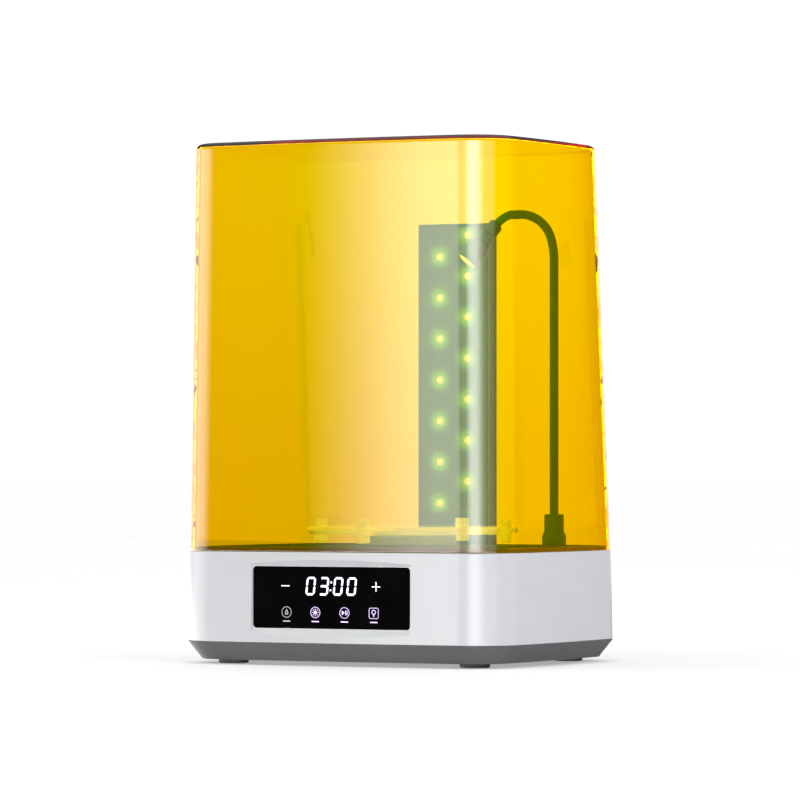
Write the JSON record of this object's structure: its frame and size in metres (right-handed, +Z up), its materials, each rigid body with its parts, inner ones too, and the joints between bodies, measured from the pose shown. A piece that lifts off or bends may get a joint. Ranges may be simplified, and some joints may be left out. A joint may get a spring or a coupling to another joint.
{
  "type": "resin print curing station",
  "caption": "Tabletop curing station for resin prints: tinted lift-off cover over a driven turntable, lamp tower and gooseneck lamp, on a base with a touch panel.",
  "frame": {"origin": "on the floor under the middle of the base", "axes": "+Z up, front panel towards -Y, gooseneck lamp on the +X side"},
  "size_m": [0.2928, 0.2376, 0.4072],
  "materials": {
    "white_shell": "satin white moulded plastic, fine texture",
    "grey_tray": "dark grey moulded plastic, fine texture",
    "rubber": "matt black rubber",
    "steel": "zinc-plated steel",
    "deck": "dark satin plastic",
    "seal": "grey silicone",
    "black_glass": "black back-printed glass",
    "board": "green solder mask",
    "chip": "black moulded epoxy",
    "capacitor": "sleeved aluminium can",
    "socket": "natural nylon",
    "aluminium": "extruded, bead blasted",
    "motor_can": "drawn steel can",
    "magnet": "nickel-plated magnet",
    "brass": "turned brass",
    "hub": "dark moulded plastic",
    "clear": "clear acrylic",
    "tower": "dark satin powder coat",
    "diffuser": "milky light-spreading plastic",
    "led": "lamp package, lit",
    "amber": "tinted transparent acrylic, blocks violet light",
    "tube": "black sleeve over a flexible metal tube",
    "lamp": "dark anodised aluminium",
    "wire": "insulated wire"
  },
  "bodies": {
    "base": {"base_shell": "white_shell", "bottom_tray": "grey_tray", "rubber_feet": "rubber", "case_screws": "steel", "deck_plate": "deck", "deck_seal": "seal", "deck_screws": "steel", "panel_glass": "black_glass", "display_module": "chip", "touch_board": "board", "touch_springs": "steel", "touch_board_screws": "steel", "power_inlet": "chip", "inlet_nut": "steel", "main_board": "board", "main_board_screws": "steel", "board_chips": "chip", "capacitors": "capacitor", "buzzer": "chip", "board_sockets": "socket", "driver_heatsink": "aluminium", "cover_sensor": "board", "motor_bracket": "steel", "bracket_screws": "steel", "drive_motor": "motor_can", "motor_screws": "steel", "pivot_pin": "steel", "tower_housing": "tower", "tower_seal": "diffuser", "tower_front": "tower", "tower_cap": "tower", "tower_board": "board", "tower_leds": "led", "tower_heat_bar": "aluminium", "tower_screws": "steel", "arm_collar": "lamp", "collar_nut": "steel", "motor_lead": "wire", "tower_lead": "wire", "lamp_lead": "wire", "display_lead": "wire", "power_lead": "wire"},
    "cover": {"cover_shell": "amber", "cover_magnet": "magnet"},
    "turntable_bush": {"pivot_bush": "brass"},
    "turntable": {"turntable_hub": "hub", "hub_magnets": "magnet", "hub_screws": "steel", "turntable_disc": "clear", "disc_lugs": "clear"},
    "rotor": {"motor_shaft": "steel", "drive_rotor": "chip", "rotor_magnets": "magnet"},
    "arm_lower": {"arm_tube_lower": "tube"},
    "arm_upper": {"arm_tube_upper": "tube", "lamp_neck": "lamp"},
    "lamp": {"lamp_boot": "lamp", "lamp_head": "lamp", "lamp_led": "led", "lamp_lens": "diffuser"}
  },
  "joints": [
    {"name": "cover_lift", "type": "slide", "parent": "base", "child": "cover", "axis": [0, 0, 1], "range_m": [0, 0.33]},
    {"name": "turntable_lift", "type": "slide", "parent": "base", "child": "turntable_bush", "axis": [0, 0, 1], "range_m": [0, 0.08]},
    {"name": "turntable_spin", "type": "hinge", "parent": "turntable_bush", "child": "turntable", "pos_m": [0.0125, -0.0035, 0.1], "axis": [0, 0, 1], "continuous": true},
    {"name": "rotor_spin", "type": "hinge", "parent": "base", "child": "rotor", "pos_m": [0.0125, -0.0035, 0.083], "axis": [0, 0, 1], "continuous": true},
    {"name": "arm_swivel", "type": "hinge", "parent": "base", "child": "arm_lower", "pos_m": [0.097, 0.074, 0.1], "axis": [0, 0, 1], "range_deg": [-38, 60]},
    {"name": "arm_bend", "type": "hinge", "parent": "arm_lower", "child": "arm_upper", "pos_m": [0.097, 0.074, 0.285], "axis": [0.6759, -0.737, 0], "range_deg": [-12, 15]},
    {"name": "lamp_tilt", "type": "hinge", "parent": "arm_upper", "child": "lamp", "pos_m": [0.05602, 0.03641, 0.33449], "axis": [0.6759, -0.737, 0], "range_deg": [-12, 12]}
  ],
  "couplings": [
    {"joint": "rotor_spin", "follows": "turntable_spin", "ratio": 1}
  ]
}
